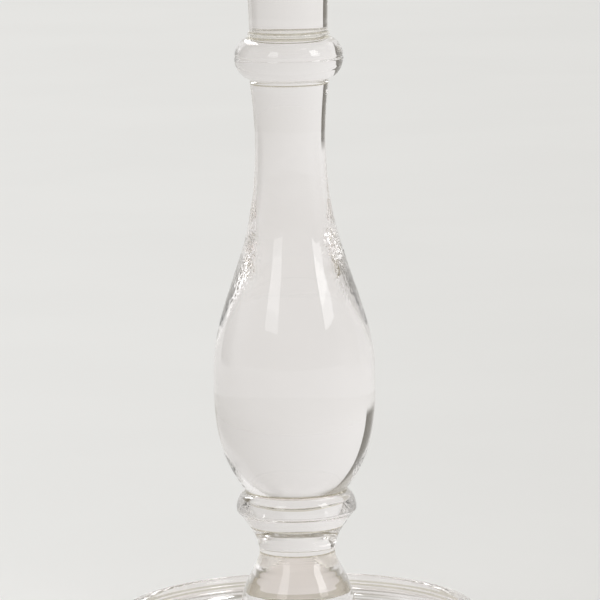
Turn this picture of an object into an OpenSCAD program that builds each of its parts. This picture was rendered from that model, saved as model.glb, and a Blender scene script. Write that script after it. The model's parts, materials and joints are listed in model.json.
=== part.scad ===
// Glass candlestick: a baluster stem between two rings, on a dished foot.
// Every piece is turned about the Z axis. The origin is the centre of the
// foot's ground underside, and +Z runs up the stem to the candle.

/* [Foot] */
// Diameter over the rolled rim of the foot
foot_d = 144; // [125:1:160]
// Height of the rim's crest above the table
foot_h = 10; // [9.5:0.1:12]
// Radius of the roll along the rim
rim_roll_r = 2.2; // [1.8:0.1:2.6]
// Height of the dish's floor above the table
dish_floor_h = 5.6; // [4.5:0.1:6]
// Height of the pad that the bell is fused to
pad_h = 6.4; // [6.2:0.1:8]
// Depth of the recess inside the ground seat ring
recess_depth = 1.2; // [0.6:0.1:2]
// Width of the ground seat ring
seat_ring_w = 8; // [5:0.5:12]

/* [Bell] */
// Height of the bell, pad to neck
bell_h = 27.5; // [24:0.5:32]
// Diameter of the bell at the pad
bell_d = 47.8; // [44:0.2:52]
// Diameter where the hollow neck turns into the round shoulder
bell_shoulder_d = 33.7; // [32:0.1:36]

/* [Neck spool] */
// Height of the spool between bell and collar
spool_h = 10.5; // [8:0.5:14]
// Diameter at its foot, which is also the top of the bell
spool_foot_d = 30.3; // [28:0.1:32]
// Diameter at its head, which is also the foot of the collar
spool_head_d = 38.2; // [36:0.2:40]

/* [Collar] */
// Height of the conical underside of the collar
collar_cone_h = 5.2; // [4.5:0.1:6]
// Height of the rounded band above the cone
collar_band_h = 9.2; // [8.5:0.1:11]
// Largest diameter of the collar
collar_d = 48.2; // [46:0.2:50]
// Diameter of the centre line that the rounded band swells from
collar_core_d = 38; // [36:0.2:39]
// Radius of the tight round under the band
collar_round_r = 2; // [1.5:0.1:2.5]

/* [Baluster] */
// Height of the whole baluster, heel to neck
baluster_h = 164.2; // [150:0.2:180]
// Diameter at the heel, on the collar
heel_d = 40.2; // [39.6:0.2:42]
// Largest diameter of the belly
belly_d = 64.8; // [58:0.2:70]
// Diameter half way up the shoulder
shoulder_d = 41.8; // [38:0.2:44]
// Smallest diameter of the neck
waist_d = 28.1; // [26:0.1:30]
// Diameter at the top of the neck, under the bead
neck_top_d = 31.4; // [30:0.1:32]

/* [Bead ring] */
// Height of the bead
bead_h = 18.5; // [16:0.5:20]
// Largest diameter of the bead
bead_d = 43.4; // [41:0.2:46]
// Diameter of the centre line that the bead swells from
bead_core_d = 28; // [27:0.2:29]
// Height of the straight foot under the bead's swelling
bead_foot_h = 1.6; // [0.5:0.1:2]
// Diameter of the bead's flat top
bead_top_d = 32.2; // [31:0.1:33]

/* [Seam disc] */
// Thickness of the thin disc between bead and cup
disc_h = 1.8; // [1.2:0.1:3]
// Diameter of the disc
disc_d = 32.8; // [32.6:0.1:34]
// Thickness of each adhesive film
bond_h = 0.2; // [0.1:0.05:0.3]
// How far a film stands back from the edge of the smaller face
bond_inset = 0.2; // [0.1:0.1:0.6]

/* [Candle cup] */
// Height of the cup, disc to lip
cup_h = 54; // [48:1:64]
// Diameter at its foot, on the disc
cup_foot_d = 31.3; // [30:0.1:32]
// Diameter over the rolled lip
cup_lip_d = 48; // [44:0.5:54]
// Radius of the roll along the lip
lip_roll_r = 2.2; // [1.8:0.1:2.6]
// Diameter of the candle socket, for a standard taper of 22 mm
socket_d = 23; // [22.4:0.1:24]
// Depth of the socket's straight wall
socket_depth = 28; // [20:1:34]
// How deep the top is dished between lip and socket
wax_dish_depth = 3; // [1:0.2:4]

/* [Hidden] */

// Facets round the axis, and the longest chord along an outline.
$fn = 96;
chord = 2.5;
arc_steps = 8;
band_chords = 12;
bead_chords = 18;

// Heights of the joints, from the table up.
bell_z = pad_h;
spool_z = bell_z + bell_h;
collar_z = spool_z + spool_h;
heel_z = collar_z + collar_cone_h + collar_band_h;
bead_z = heel_z + baluster_h;
lower_bond_z = bead_z + bead_h;
disc_z = lower_bond_z + bond_h;
upper_bond_z = disc_z + disc_h;
cup_z = upper_bond_z + bond_h;
lip_z = cup_z + cup_h;

// The baluster's belly, shoulder and waist, as parts of its height.
belly_at = 0.297;
shoulder_at = 0.577;
waist_at = 0.859;
// The bell's shoulder, as a part of its height.
bell_shoulder_at = 0.81;

// Lean of the outline where stretches meet, in mm of radius for each mm of height.
heel_lean = 0.8;
shoulder_lean = -0.33;
neck_lean = 0.12;
bell_lean = -0.58;
bell_top_lean = -0.05;
spool_head_lean = 0.68;
spool_foot_lean = 0.05;
cup_foot_lean = 0.01;
cup_lip_lean = 0.4;

glass = [0.86, 0.88, 0.87, 0.35];
seam_glass = [0.80, 0.74, 0.68, 0.5];
adhesive = [0.62, 0.52, 0.40, 0.6];

// A smooth stretch of outline from a to b, each [radius, height, lean].
// It leaves b out, so that the next stretch can begin there.
function stretch(a, b) =
    let(h = b[1] - a[1], n = ceil(abs(h) / chord))
    [for (i = [0:n - 1])
        let(t = i / n)
        [a[0] * (2 * t ^ 3 - 3 * t ^ 2 + 1) + b[0] * (3 * t ^ 2 - 2 * t ^ 3)
         + h * (a[2] * (t ^ 3 - 2 * t ^ 2 + t) + b[2] * (t ^ 3 - t ^ 2)),
         a[1] + h * t]];

// A run of stretches through a list of stations, ending on the last one.
function outline(stations) =
    let(last = len(stations) - 1)
    [for (i = [0:last - 1]) each stretch(stations[i], stations[i + 1]),
     [stations[last][0], stations[last][1]]];

// An arc round c from angle a0 to a1, in n chords; half is its half width and half height.
function oval(c, half, a0, a1, n) =
    [for (i = [0:n])
        let(a = a0 + (a1 - a0) * i / n)
        [c[0] + half[0] * cos(a), c[1] + half[1] * sin(a)]];

// A round arc of radius r. With first = 1 it leaves out its starting point.
function arc(c, r, a0, a1, first = 0) =
    [for (i = [first:arc_steps])
        let(a = a0 + (a1 - a0) * i / arc_steps)
        c + r * [cos(a), sin(a)]];

// A solid turned from an outline that runs from its bottom to its top.
module turned(points) {
    bottom = points[0][1];
    top = points[len(points) - 1][1];
    rotate_extrude() polygon(concat([[0, bottom]], points, [[0, top]]));
}

// Dish with a rolled rim, a raised pad for the bell and a ground seat ring.
module foot_dish() {
    foot_r = foot_d / 2;
    roll = [foot_r - rim_roll_r, foot_h - rim_roll_r];
    heel_round = 4;
    seat_r = foot_r - heel_round;
    cove_r = roll[1] - dish_floor_h;
    cove = [roll[0] - rim_roll_r - cove_r, roll[1]];
    recess_r = seat_r - seat_ring_w;
    pad_rim_w = 1;
    pad_r = bell_d / 2 + pad_rim_w;
    pad_slope_w = 6;
    color(glass)
        rotate_extrude()
            polygon(concat(
                [[0, recess_depth], [recess_r - recess_depth, recess_depth], [recess_r, 0]],
                arc([seat_r, heel_round], heel_round, -90, 0),
                arc(roll, rim_roll_r, 0, 180),
                arc(cove, cove_r, 0, -90, first = 1),
                [[pad_r + pad_slope_w, dish_floor_h], [pad_r, pad_h], [0, pad_h]]));
}

// Solid bell: a round shoulder under a short neck with a concave side.
module bell_pedestal() {
    shoulder_z = bell_z + bell_h * bell_shoulder_at;
    color(glass)
        turned(outline([[bell_d / 2, bell_z, 0],
                        [bell_shoulder_d / 2, shoulder_z, bell_lean],
                        [spool_foot_d / 2, spool_z, bell_top_lean]]));
}

// Short solid spool with a concave side, which carries the collar.
module neck_spool() {
    color(glass)
        turned(outline([[spool_foot_d / 2, spool_z, spool_foot_lean],
                        [spool_head_d / 2, collar_z, spool_head_lean]]));
}

// Ring with a conical underside, a tight round and a band that eases in to the heel.
module lower_collar() {
    collar_r = collar_d / 2;
    round_angle = 65;
    round_end_angle = 10;
    round_chords = 5;
    widest_z = collar_z + collar_cone_h + collar_round_r * sin(round_angle);
    core_r = collar_core_d / 2;
    bulge = collar_r - core_r;
    top_angle = acos((heel_d / 2 - core_r) / bulge);
    half_h = (heel_z - widest_z) / sin(top_angle);
    color(glass)
        turned(concat([[spool_head_d / 2, collar_z]],
                      oval([collar_r - collar_round_r, widest_z],
                           [collar_round_r, collar_round_r],
                           -round_angle, -round_end_angle, round_chords),
                      oval([core_r, widest_z], [bulge, half_h], 0, top_angle, band_chords)));
}

// Long stem: a narrow neck that swells into the belly and draws in to the heel.
module baluster_stem() {
    color(glass)
        turned(outline([[heel_d / 2, heel_z, heel_lean],
                        [belly_d / 2, heel_z + baluster_h * belly_at, 0],
                        [shoulder_d / 2, heel_z + baluster_h * shoulder_at, shoulder_lean],
                        [waist_d / 2, heel_z + baluster_h * waist_at, 0],
                        [neck_top_d / 2, bead_z, neck_lean]]));
}

// Rounded ring over the neck, on a short straight foot.
module upper_bead() {
    core_r = bead_core_d / 2;
    bulge = bead_d / 2 - core_r;
    bottom_angle = -acos((neck_top_d / 2 - core_r) / bulge);
    top_angle = acos((bead_top_d / 2 - core_r) / bulge);
    half_h = (bead_h - bead_foot_h) / (sin(top_angle) - sin(bottom_angle));
    core_z = lower_bond_z - half_h * sin(top_angle);
    color(glass)
        turned(concat([[neck_top_d / 2, bead_z]],
                      oval([core_r, core_z], [bulge, half_h],
                           bottom_angle, top_angle, bead_chords)));
}

// One clear adhesive film at height z, on a face of diameter d.
module bond_film(z, d) {
    color(adhesive)
        translate([0, 0, z])
            cylinder(h = bond_h, r = d / 2 - bond_inset);
}

// Film between the bead's top and the disc.
module disc_bond_lower() {
    bond_film(lower_bond_z, bead_top_d);
}

// Thin disc with a rounded edge.
module seam_disc() {
    edge_r = disc_h / 2;
    color(seam_glass)
        turned(arc([disc_d / 2 - edge_r, disc_z + edge_r], edge_r, -90, 90));
}

// Film between the disc and the cup's foot.
module disc_bond_upper() {
    bond_film(upper_bond_z, cup_foot_d);
}

// Trumpet-shaped cup with a rolled lip, a shallow wax dish and a round socket.
module candle_cup() {
    roll = [cup_lip_d / 2 - lip_roll_r, lip_z - lip_roll_r];
    lip_inner_angle = 130;
    mouth_z = lip_z - wax_dish_depth;
    mouth_flat_w = 1;
    color(glass)
        difference() {
            rotate_extrude()
                polygon(concat(
                    [[0, cup_z]],
                    stretch([cup_foot_d / 2, cup_z, cup_foot_lean],
                            [cup_lip_d / 2, roll[1], cup_lip_lean]),
                    arc(roll, lip_roll_r, 0, lip_inner_angle),
                    [[socket_d / 2 + mouth_flat_w, mouth_z], [0, mouth_z]]));
            translate([0, 0, mouth_z - socket_depth])
                cylinder(h = socket_depth + wax_dish_depth, r = socket_d / 2);
        }
}

foot_dish();
bell_pedestal();
neck_spool();
lower_collar();
baluster_stem();
upper_bead();
disc_bond_lower();
seam_disc();
disc_bond_upper();
candle_cup();
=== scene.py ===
import json
import math

import bpy
from mathutils import Matrix, Vector, noise


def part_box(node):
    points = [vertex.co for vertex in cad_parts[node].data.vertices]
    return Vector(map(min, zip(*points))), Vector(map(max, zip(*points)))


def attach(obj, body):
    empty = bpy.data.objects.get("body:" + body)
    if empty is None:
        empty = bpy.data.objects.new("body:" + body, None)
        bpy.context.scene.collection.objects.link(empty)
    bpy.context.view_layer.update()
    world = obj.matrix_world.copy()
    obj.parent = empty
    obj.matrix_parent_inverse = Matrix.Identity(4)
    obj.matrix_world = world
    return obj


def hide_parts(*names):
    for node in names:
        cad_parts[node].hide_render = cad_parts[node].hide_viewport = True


# A clear glass candlestick: ten turned pieces bonded in one stack, in a pale room with two softboxes.

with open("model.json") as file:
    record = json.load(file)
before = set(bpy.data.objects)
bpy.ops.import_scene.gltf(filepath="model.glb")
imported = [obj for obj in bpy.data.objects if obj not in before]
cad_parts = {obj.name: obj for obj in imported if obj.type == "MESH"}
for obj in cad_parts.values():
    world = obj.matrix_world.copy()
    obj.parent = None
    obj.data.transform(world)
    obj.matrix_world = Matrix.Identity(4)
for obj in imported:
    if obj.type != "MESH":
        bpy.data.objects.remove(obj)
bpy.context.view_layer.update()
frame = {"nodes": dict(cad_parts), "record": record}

MM = 0.001
# Two places closer than this, in metres, are the same one.
SAME = 1e-6

# The pieces from the foot up. Each one meets the next on a flat round face.
STACK = ["foot_dish", "bell_pedestal", "neck_spool", "lower_collar", "baluster_stem",
         "upper_bead", "disc_bond_lower", "seam_disc", "disc_bond_upper", "candle_cup"]

# How finely the glass is turned: columns round the axis and rows along the outline.
COLUMNS = 300
ROW_STEP = 0.5 * MM
# A turn in the outline sharper than this is an edge; every edge is fire-polished round.
EDGE_TURN = math.radians(25)
# Outline points further apart than this are joined by a straight line, not a curve.
STRAIGHT = 5 * MM
POLISH = 0.35 * MM
POLISH_ROWS = 3
# The polish never takes more than this share of the outline's step on either side of an edge.
POLISH_SHARE = 0.4
# Faces that meet at a sharper angle than this are not shaded as one surface.
SHARP_ANGLE = math.radians(40)

CAMERA_AIM = Vector((2.8, 0.0, 135.6)) * MM
CAMERA_DISTANCE = 2.011
CAMERA_PITCH = math.radians(8.62)
CAMERA_ROLL = math.radians(0.98)
CAMERA_LENS = 301.8
CAMERA_SENSOR = 36.0


# ---------------------------------------------------------------- node helpers

class Nodes:
    """A short way to add nodes to a material's or the world's tree and link them."""

    def __init__(self, owner):
        owner.use_nodes = True
        self.tree = owner.node_tree
        self.tree.nodes.clear()

    def add(self, kind, inputs=None, **settings):
        made = self.tree.nodes.new("ShaderNode" + kind)
        for name, value in settings.items():
            setattr(made, name, value)
        for name, value in (inputs or {}).items():
            if isinstance(value, bpy.types.NodeSocket):
                self.tree.links.new(value, made.inputs[name])
            else:
                made.inputs[name].default_value = value
        return made

    def math(self, operation, a, b=0.0):
        return self.add("Math", {0: a, 1: b}, operation=operation).outputs[0]

    def ramp(self, value, low, high, out_low=0.0, out_high=1.0):
        """value mapped smoothly from low..high to out_low..out_high."""
        return self.add("MapRange", {"Value": value, "From Min": low, "From Max": high,
                                     "To Min": out_low, "To Max": out_high},
                        interpolation_type="SMOOTHSTEP").outputs["Result"]

    def noise(self, scale, detail=2.0, stretch=(1.0, 1.0, 1.0)):
        """Noise in the object's own metres, drawn out along an axis by a small stretch."""
        place = self.add("TexCoord").outputs["Object"]
        place = self.add("Mapping", {"Vector": place, "Scale": stretch}).outputs[0]
        return self.add("TexNoise", {"Vector": place, "Scale": scale, "Detail": detail}).outputs["Fac"]


def glass_material(name, tint_thin, tint_thick):
    """Clear glass whose tint and haze wander slowly, with faint drawing lines."""
    refraction = 1.5
    haze = 0.012
    tint_clouds, smear_spots, draw_lines = 28.0, 90.0, 60.0
    line_height = 0.6 * MM
    line_strength = 0.06
    material = bpy.data.materials.new(name)
    n = Nodes(material)
    cloud = n.ramp(n.noise(tint_clouds), 0.35, 0.65)
    tint = n.add("Mix", {"Factor": cloud, "A": tint_thin, "B": tint_thick}, data_type="RGBA")
    smears = n.ramp(n.noise(smear_spots, 3.0), 0.55, 0.75, 0.0, haze)
    lines = n.noise(draw_lines, 2.0, stretch=(1.0, 1.0, 3.0))
    bump = n.add("Bump", {"Height": lines, "Strength": line_strength, "Distance": line_height})
    shader = n.add("BsdfPrincipled", {
        "Base Color": tint.outputs["Result"], "Roughness": smears, "Normal": bump.outputs[0],
        "Transmission Weight": 1.0, "IOR": refraction})
    n.add("OutputMaterial", {"Surface": shader.outputs[0]})
    return material


def joint_material(name, colour, alpha):
    """The face between two bonded pieces. Light goes straight through, dimmed by as much as alpha says."""
    material = bpy.data.materials.new(name)
    n = Nodes(material)
    shader = n.add("BsdfPrincipled", {"Base Color": colour, "Alpha": alpha})
    n.add("OutputMaterial", {"Surface": shader.outputs[0]})
    return material


def bond_material():
    """Thin adhesive film, slightly yellowed, with a cloudy density."""
    yellow_dark = (0.50, 0.40, 0.30, 1.0)
    yellow_pale = (0.62, 0.50, 0.38, 1.0)
    tint_clouds, density_spots = 120.0, 200.0
    material = bpy.data.materials.new("bond_film")
    n = Nodes(material)
    cloud = n.ramp(n.noise(tint_clouds, 3.0), 0.3, 0.7)
    tint = n.add("Mix", {"Factor": cloud, "A": yellow_dark, "B": yellow_pale}, data_type="RGBA")
    density = n.ramp(n.noise(density_spots, 2.0), 0.2, 0.8, 0.35, 0.6)
    shader = n.add("BsdfPrincipled", {"Base Color": tint.outputs["Result"], "Alpha": density,
                                      "Roughness": 0.3})
    n.add("OutputMaterial", {"Surface": shader.outputs[0]})
    return material


# ------------------------------------------------------------ outlines and turning

def cad_outline(node):
    """The CAD node's outline as (radius, height) points, from the axis below it to the axis above it."""
    mesh = frame["nodes"][node].data

    def place(index):
        at = mesh.vertices[index].co
        return (round(at.x, 6), round(at.z, 6))

    # The piece is round about Z, so its outline is where its mesh meets the half plane through +X.
    cut = {v.index for v in mesh.vertices if abs(v.co.y) < SAME and v.co.x > -SAME}
    links = {}
    for edge in mesh.edges:
        a, b = edge.vertices
        if a in cut and b in cut and place(a) != place(b):
            links.setdefault(place(a), set()).add(place(b))
            links.setdefault(place(b), set()).add(place(a))
    # The two rims of a flat face may have no edge between them. They are loose at one height, and
    # the outline's own two ends are the loose points that have no partner.
    loose = [p for p in links if len(links[p]) == 1]
    ends = [p for p in loose if not any(p != q and p[1] == q[1] for q in loose)]
    here = min(ends, key=lambda p: p[1])
    path = [(0.0, here[1]), here]
    left = set(links) - {here}
    while left:
        # Across such a flat face, the next point is the nearest one at the same height.
        level = {p for p in left if p[1] == here[1]}
        near = (links[here] & left) or level
        here = min(near, key=lambda p: math.dist(p, here))
        left.discard(here)
        path.append(here)
    return path + [(0.0, here[1])]


def turn_at(before, here, after):
    """How far the outline turns at a point."""
    a = math.atan2(here[1] - before[1], here[0] - before[0])
    b = math.atan2(after[1] - here[1], after[0] - here[0])
    return abs((b - a + math.pi) % (2 * math.pi) - math.pi)


def between(a, b, t):
    """The point at share t of the way from a to b."""
    return tuple(p + (q - p) * t for p, q in zip(a, b))


def polish(path):
    """Rounds every sharp edge of an outline with a small curve."""
    out = [path[0]]
    for before, here, after in zip(path, path[1:], path[2:]):
        if turn_at(before, here, after) < EDGE_TURN:
            out.append(here)
            continue
        reach_a = min(POLISH / math.dist(before, here), POLISH_SHARE)
        reach_b = min(POLISH / math.dist(after, here), POLISH_SHARE)
        start = between(here, before, reach_a)
        end = between(here, after, reach_b)
        for i in range(POLISH_ROWS + 1):
            t = i / POLISH_ROWS
            out.append(between(between(start, here, t), between(here, end, t), t))
    return out + [path[-1]]


def curve_point(points, t):
    """The point at share t of the way from the second to the third of four points, on a smooth curve."""
    return tuple(0.5 * (2 * b + (c - a) * t + (2 * a - 5 * b + 4 * c - d) * t ** 2
                        + (3 * b - a - 3 * c + d) * t ** 3)
                 for a, b, c, d in zip(*points))


def smooth_run(run):
    """A curve through a run of points, with a row about every ROW_STEP. Two points stay a straight line."""
    if len(run) == 2:
        return run
    ends = [between(run[0], run[1], -1.0), *run, between(run[-1], run[-2], -1.0)]
    out = []
    for points in zip(ends, ends[1:], ends[2:], ends[3:]):
        rows = max(1, round(math.dist(points[1], points[2]) / ROW_STEP))
        for i in range(rows):
            out.append(curve_point(points, i / rows))
    return out + [run[-1]]


def smooth_outline(path):
    """The outline with its curves smooth, its flats straight and its edges polished."""
    corners = [0]
    for i in range(1, len(path) - 1):
        before, here, after = path[i - 1:i + 2]
        meets_straight = max(math.dist(before, here), math.dist(here, after)) > STRAIGHT
        if meets_straight or turn_at(before, here, after) >= EDGE_TURN:
            corners.append(i)
    corners.append(len(path) - 1)
    rows = [path[0]]
    for a, b in zip(corners, corners[1:]):
        rows += smooth_run(path[a:b + 1])[1:]
    return polish(rows)


def turned_mesh(name, outline, shift=None):
    """Turns an outline about Z into a closed mesh. shift(angle, radius, height) moves the surface."""
    verts = []
    rings = []
    for radius, height in outline:
        if radius < SAME:
            rings.append([len(verts)] * COLUMNS)
            verts.append((0.0, 0.0, height))
            continue
        rings.append(list(range(len(verts), len(verts) + COLUMNS)))
        for column in range(COLUMNS):
            angle = math.tau * column / COLUMNS
            moved = radius + (shift(angle, radius, height) if shift else 0.0)
            verts.append((moved * math.cos(angle), moved * math.sin(angle), height))
    faces = []
    for low, high in zip(rings, rings[1:]):
        for i in range(COLUMNS):
            j = (i + 1) % COLUMNS
            corners = [low[i], low[j], high[j], high[i]]
            faces.append(list(dict.fromkeys(corners)))
    mesh = bpy.data.meshes.new(name)
    mesh.from_pydata(verts, [], faces)
    mesh.validate()
    mesh.shade_smooth()
    mesh.set_sharp_from_angle(angle=SHARP_ANGLE)
    return mesh


# ------------------------------------------------------------------ the glass

def hand_finish(low, high):
    """The slow waver of hand-worked glass, fading out towards a piece's flat ends."""
    fade_h = 6 * MM
    depth = 0.05 * MM
    wave = 45.0

    def shift(angle, radius, height):
        fade = min(1.0, (height - low) / fade_h, (high - height) / fade_h)
        at = Vector((radius * math.cos(angle), radius * math.sin(angle), height)) * wave
        return depth * max(0.0, fade) * noise.noise(at)
    return shift


def chill_ripples(low, high):
    """Fine wrinkles on two sides of the shoulder, where it cooled against the mould, over the slow waver."""
    waver = hand_finish(low, high)
    centre = low + 0.60 * (high - low)
    reach = 0.15 * (high - low)
    depth = 0.70 * MM
    crinkle = 800.0
    ragged_spots, ragged_base = 90.0, 0.45
    squash = 0.8
    # The two patches face along X: they start and are full at these shares of that direction.
    patch_edge, patch_full = 0.55, 0.85

    def shift(angle, radius, height):
        amount = waver(angle, radius, height)
        away = abs(height - centre) / reach
        inside = (abs(math.cos(angle)) - patch_edge) / (patch_full - patch_edge)
        if away >= 1.0 or inside <= 0.0:
            return amount
        at = Vector((math.cos(angle) * radius, math.sin(angle) * radius, height * squash))
        ragged = max(0.0, noise.noise(at * ragged_spots) + ragged_base)
        strength = depth * (1.0 - away ** 2) * min(1.0, inside) * min(1.0, ragged)
        return amount + strength * noise.turbulence(at * crinkle, 2, True)
    return shift


def parting_line(low, high):
    """The fine groove that the two halves of a mould leave round the middle, over the slow waver."""
    waver = hand_finish(low, high)
    centre = low + 0.58 * (high - low)
    reach = 0.9 * MM
    depth = 0.30 * MM

    def shift(angle, radius, height):
        return waver(angle, radius, height) - depth * max(0.0, 1.0 - abs(height - centre) / reach)
    return shift


def flat_end(outline, height):
    """How far out a flat end face reaches at this height."""
    return max(r for r, z in outline if abs(z - height) < SAME)


def with_joint_ring(outline, height, radius):
    """Adds the ring where a bonded face ends, so that both neighbours share it."""
    i = next(i for i, (a, b) in enumerate(zip(outline, outline[1:]))
             if abs(a[1] - height) < SAME and abs(b[1] - height) < SAME
             and min(a[0], b[0]) <= radius <= max(a[0], b[0]))
    ring = (radius, height)
    if ring in (outline[i], outline[i + 1]):
        return outline
    return outline[:i + 1] + [ring] + outline[i + 1:]


def make_stack(materials):
    """Turns every piece, with the faces between neighbours shared and see-through."""
    outlines = {}
    for node in STACK:
        outlines[node] = smooth_outline(cad_outline(node))
    joints = {node: [] for node in STACK}
    for lower, upper in zip(STACK, STACK[1:]):
        height = round(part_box(upper)[0].z, 6)
        radius = min(flat_end(outlines[lower], height), flat_end(outlines[upper], height))
        for node in (lower, upper):
            outlines[node] = with_joint_ring(outlines[node], height, radius)
            joints[node].append((height, radius))
    slots = {subpart["node"]: subpart["material_slot"] for subpart in frame["record"]["subparts"]}
    finish = {"baluster_stem": chill_ripples, "upper_bead": parting_line}
    for node in STACK:
        low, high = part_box(node)
        slot = slots[node]
        # The thin disc and its films are too flat to show any working of the glass.
        shift = None
        if slot == "clear_glass":
            shift = finish.get(node, hand_finish)(low.z, high.z)
        mesh = turned_mesh(node + "_look", outlines[node], shift)
        mesh.materials.append(materials[slot])
        mesh.materials.append(materials["film" if slot == "bond" else "joint"])
        mesh.materials.append(materials["edge"])
        # A bonded face takes the second material, and the narrow polished band beside it the third.
        for face in mesh.polygons:
            at = face.center
            for height, radius in joints[node]:
                if abs(at.z - height) < SAME and math.hypot(at.x, at.y) < radius:
                    face.material_index = 1
                elif abs(at.z - height) < POLISH:
                    face.material_index = 2
        piece = bpy.data.objects.new(node + "_glass", mesh)
        bpy.context.scene.collection.objects.link(piece)
        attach(piece, "root")
        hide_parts(node)


# ------------------------------------------------------------------- the studio

# What surrounds the object, in linear light: pale behind it, dimmer in front and dark overhead.
# Each tone falls off from full left to full right, and gets warmer.
BACK_LEFT = (0.92, 0.92, 0.905, 1.0)
BACK_RIGHT = (0.62, 0.61, 0.585, 1.0)
FRONT_LEFT = (0.62, 0.60, 0.54, 1.0)
FRONT_RIGHT = (0.18, 0.165, 0.13, 1.0)
CEILING = (0.30, 0.285, 0.235, 1.0)
# The ceiling begins where a direction's upward share passes these two values.
CEILING_START = 0.55
CEILING_FULL = 0.80
# How far out on the floor, in metres, its tone turns from the middle one to that of its direction.
TONE_REACH = 0.8
# The soft shade on the floor under the foot, and how far out it is full and ends.
SHADE = (0.71, 0.705, 0.66, 1.0)
SHADE_FULL = 35 * MM
SHADE_END = 75 * MM
# The floor returns a little less light than it gets, so its own colour is lifted to match.
FLOOR_LIFT = 1.035


def room_tone(n, across, left, right):
    """The tone seen in a direction, where across is how far that direction points to the right."""
    share = n.add("MapRange", {"Value": across, "From Min": -1.0, "From Max": 1.0}).outputs["Result"]
    return n.add("Mix", {"Factor": share, "A": left, "B": right}, data_type="RGBA").outputs["Result"]


def make_floor():
    """A wide pale floor, painted lighter to the left and darker to the right as if lit from the left, with a
    painted shade under the foot. Far away its tone is the room's, so that no horizon shows.
    """
    half = 14.0
    gap = 0.1 * MM
    mottle_scale = 5.0
    mottle_depth = 0.008
    mesh = bpy.data.meshes.new("floor")
    corners = [(-half, -half, -gap), (half, -half, -gap), (half, half, -gap), (-half, half, -gap)]
    mesh.from_pydata(corners, [], [(0, 1, 2, 3)])
    floor = bpy.data.objects.new("floor", mesh)
    bpy.context.scene.collection.objects.link(floor)
    material = bpy.data.materials.new("pale_floor")
    n = Nodes(material)
    place = n.add("TexCoord").outputs["Object"]
    away = n.add("VectorMath", {0: place}, operation="LENGTH").outputs["Value"]
    reach = n.math("SQRT", n.math("ADD", n.math("POWER", away, 2.0), TONE_REACH ** 2))
    across = n.math("DIVIDE", n.add("SeparateXYZ", {0: place}).outputs["X"], reach)
    spots = n.noise(mottle_scale, 4.0)
    mottle = n.ramp(spots, 0.3, 0.7, FLOOR_LIFT - mottle_depth, FLOOR_LIFT + mottle_depth)
    # Painted light: the floor's colour goes from lighter on the left to darker on the right, as the room is
    # lit, and turns to the room's tone far away.
    tone = room_tone(n, across, BACK_LEFT, BACK_RIGHT)
    under = n.ramp(away, SHADE_FULL, SHADE_END, 1.0, 0.0)
    tone = n.add("Mix", {"Factor": under, "A": tone, "B": SHADE}, data_type="RGBA").outputs["Result"]
    tint = n.add("VectorMath", {0: tone, "Scale": mottle}, operation="SCALE").outputs[0]
    shader = n.add("BsdfPrincipled", {"Base Color": tint, "Roughness": 1.0, "Specular IOR Level": 0.0})
    n.add("OutputMaterial", {"Surface": shader.outputs[0]})
    mesh.materials.append(material)


def make_world():
    """Even light on the floor, and the room's tone wherever glass or camera looks past the floor."""
    world = bpy.data.worlds.new("studio")
    bpy.context.scene.world = world
    n = Nodes(world)
    direction = n.add("SeparateXYZ", {0: n.add("TexCoord").outputs["Generated"]})
    across, ahead, up = (direction.outputs[axis] for axis in "XYZ")
    back = room_tone(n, across, BACK_LEFT, BACK_RIGHT)
    front = room_tone(n, across, FRONT_LEFT, FRONT_RIGHT)
    in_front = n.ramp(ahead, -0.5, 0.0, 1.0, 0.0)
    walls = n.add("Mix", {"Factor": in_front, "A": back, "B": front}, data_type="RGBA").outputs["Result"]
    overhead = n.ramp(up, CEILING_START, CEILING_FULL)
    room = n.add("Mix", {"Factor": overhead, "A": walls, "B": CEILING}, data_type="RGBA").outputs["Result"]
    rays = n.add("LightPath").outputs
    seen = n.add("Mix", {"Factor": rays["Is Camera Ray"], "A": room, "B": back}, data_type="RGBA")
    view = n.add("Background", {"Color": seen.outputs["Result"], "Strength": 1.0})
    light = n.add("Background", {"Color": (1.0, 1.0, 1.0, 1.0), "Strength": 1.0})
    from_floor = n.math("MINIMUM", rays["Diffuse Depth"], 1.0)
    mixed = n.add("MixShader", {0: from_floor, 1: view.outputs[0], 2: light.outputs[0]})
    n.add("OutputWorld", {"Surface": mixed.outputs[0]})


# Heights in metres: the dim strip along a softbox's foot and how softly it ends, and a flag's soft
# foot and top.
DIM_STRIP = 0.24
DIM_STRIP_SOFT = 0.02
FLAG_FOOT = 0.07
FLAG_TOP = 0.80


def panel(name, azimuth, distance, low, high, width, lean=0.0):
    """An upright card that faces the object, seen only in the glass. Azimuth 0 is the camera's side.

    lean is how far the card's top edge is shifted towards a greater azimuth.
    """
    half = width / 2
    mesh = bpy.data.meshes.new(name)
    corners = [(-half, 0.0, low), (half, 0.0, low), (lean + half, 0.0, high), (lean - half, 0.0, high)]
    mesh.from_pydata(corners, [], [(0, 1, 2, 3)])
    card = bpy.data.objects.new(name, mesh)
    turn = Matrix.Rotation(math.radians(azimuth), 4, "Z")
    card.matrix_world = turn @ Matrix.Translation((0.0, -distance, 0.0))
    card.visible_camera = False
    card.visible_diffuse = False
    card.visible_shadow = False
    bpy.context.scene.collection.objects.link(card)
    return card


def window(name, azimuth, distance, low, high, width, dim, bright):
    """A softbox that is dimmer along its lower edge."""
    card = panel(name, azimuth, distance, low, high, width)
    material = bpy.data.materials.new(name)
    n = Nodes(material)
    up = n.add("SeparateXYZ", {0: n.add("TexCoord").outputs["Object"]}).outputs["Z"]
    glow = n.ramp(up, low + DIM_STRIP, low + DIM_STRIP + DIM_STRIP_SOFT, dim, bright)
    lit = n.add("Emission", {"Color": (1.0, 1.0, 0.99, 1.0), "Strength": glow})
    n.add("OutputMaterial", {"Surface": lit.outputs[0]})
    card.data.materials.append(material)


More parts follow.
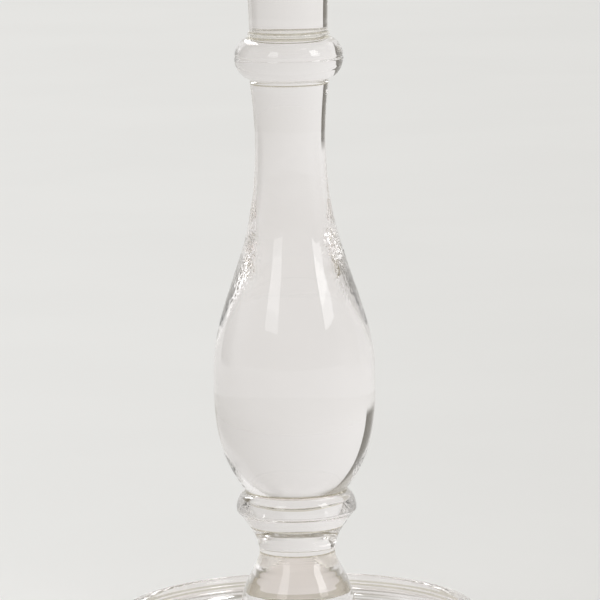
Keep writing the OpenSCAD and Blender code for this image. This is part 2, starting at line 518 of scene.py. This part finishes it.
def dark_flag(name, azimuth, distance, low, high, width, lean, fade, tone):
    """A dark card that draws a dark line down the glass's far edge, and fades out away from it.

    fade is the width of the soft side: positive on the side of the greater azimuth, negative on the other.
    """
    card = panel(name, azimuth, distance, low, high, width, lean)
    material = bpy.data.materials.new(name)
    n = Nodes(material)
    place = n.add("SeparateXYZ", {0: n.add("TexCoord").outputs["Object"]}).outputs
    slant = n.math("MULTIPLY", n.math("SUBTRACT", place["Z"], low), lean / (high - low))
    aside = n.math("MULTIPLY", n.math("SUBTRACT", place["X"], slant), math.copysign(1.0, fade))
    sides = n.ramp(aside, width / 2 - abs(fade), width / 2, 1.0, 0.0)
    top = n.ramp(place["Z"], high - FLAG_TOP, high, 1.0, 0.0)
    foot = n.ramp(place["Z"], low, low + FLAG_FOOT)
    shade = n.math("MULTIPLY", sides, n.math("MULTIPLY", foot, top))
    lit = n.add("Emission", {"Color": tone, "Strength": 1.0})
    clear = n.add("BsdfTransparent")
    mixed = n.add("MixShader", {0: shade, 1: clear.outputs[0], 2: lit.outputs[0]})
    n.add("OutputMaterial", {"Surface": mixed.outputs[0]})
    card.data.materials.append(material)


def make_camera():
    """The photograph's view: a long lens, a little above the object, leaning by about a degree."""
    camera = bpy.data.objects.new("camera", bpy.data.cameras.new("camera"))
    camera.data.lens = CAMERA_LENS
    camera.data.sensor_width = CAMERA_SENSOR
    camera.data.clip_start = 0.05
    camera.data.clip_end = 60.0
    look = Vector((0.0, math.cos(CAMERA_PITCH), -math.sin(CAMERA_PITCH)))
    right = Vector((1.0, 0.0, 0.0))
    up = right.cross(look)
    c, s = math.cos(CAMERA_ROLL), math.sin(CAMERA_ROLL)
    axes = Matrix((c * right - s * up, s * right + c * up, -look)).transposed()
    camera.matrix_world = Matrix.Translation(CAMERA_AIM - look * CAMERA_DISTANCE) @ axes.to_4x4()
    bpy.context.scene.collection.objects.link(camera)
    bpy.context.scene.camera = camera


# Each glass's thin and thick tint: nearly clear, a little warmer in the disc, olive on polished edges.
CLEAR = (0.99, 0.966, 0.968, 1.0), (0.982, 0.957, 0.957, 1.0)
SEAM = (0.97, 0.955, 0.92, 1.0), (0.95, 0.93, 0.88, 1.0)
EDGE = (0.62, 0.58, 0.47, 1.0), (0.52, 0.48, 0.38, 1.0)

materials = {
    "clear_glass": glass_material("clear_glass", *CLEAR),
    "seam_glass": glass_material("seam_glass", *SEAM),
    "edge": glass_material("edge_glass", *EDGE),
    "bond": bond_material(),
    "joint": joint_material("joint_face", (0.9, 0.88, 0.86, 1.0), 0.0),
    "film": joint_material("film_face", (0.42, 0.38, 0.27, 1.0), 0.10),
}
make_stack(materials)
make_floor()
make_world()
window("window_left", azimuth=-36, distance=2.2, low=0.89, high=2.3, width=0.86, dim=2.1, bright=3.0)
window("window_right", azimuth=62, distance=2.2, low=0.84, high=2.2, width=0.78, dim=3.2, bright=5.2)
dark_flag("flag_left", azimuth=-109, distance=1.08, low=0.001, high=2.0, width=0.76, lean=-0.36,
          fade=0.45, tone=(0.125, 0.115, 0.095, 1.0))
dark_flag("flag_right", azimuth=90, distance=1.08, low=0.001, high=2.0, width=0.72, lean=0.0,
          fade=-0.45, tone=(0.42, 0.40, 0.35, 1.0))
make_camera()

scene = bpy.context.scene
scene.view_settings.view_transform = "Standard"
# Light that is caught inside the glass bounces many times before it gets out.
scene.cycles.max_bounces = 64
scene.cycles.glossy_bounces = 32
scene.cycles.transmission_bounces = 64
scene.cycles.transparent_max_bounces = 128
# The glass stays clear, not blurred, for the light that it lets through to the floor.
scene.cycles.blur_glossy = 0.0
